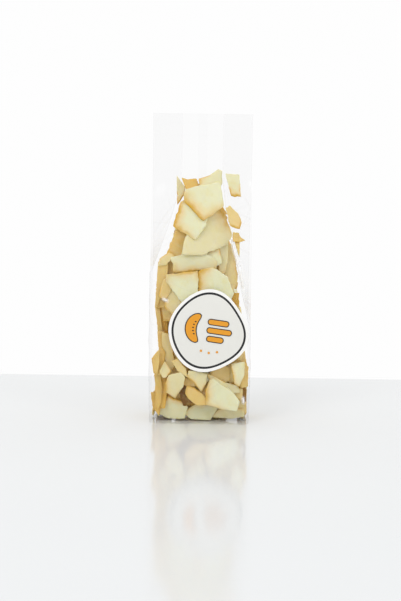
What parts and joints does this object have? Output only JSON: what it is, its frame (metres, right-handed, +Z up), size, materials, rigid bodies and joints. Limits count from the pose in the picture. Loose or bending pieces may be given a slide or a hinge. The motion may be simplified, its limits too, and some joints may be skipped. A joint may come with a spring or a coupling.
{
  "type": "bag of dried melon slices",
  "caption": "Clear block-bottom gusset bag with a flat sealed top, filled with thin dried melon slices, with a round paper label on its front.",
  "frame": {"origin": "under the middle of the whole pack, on the surface that it stands on", "axes": "+Z up along the bag's height, -Y towards the front with the label, +X to the right as the label is looked at"},
  "size_m": [0.1026, 0.0662, 0.31],
  "materials": {
    "dried_melon": "satin",
    "clear_film": "gloss",
    "label_paper": "satin"
  },
  "bodies": {
    "root": {"bag": "dried_melon", "label": "label_paper"}
  },
  "joints": []
}
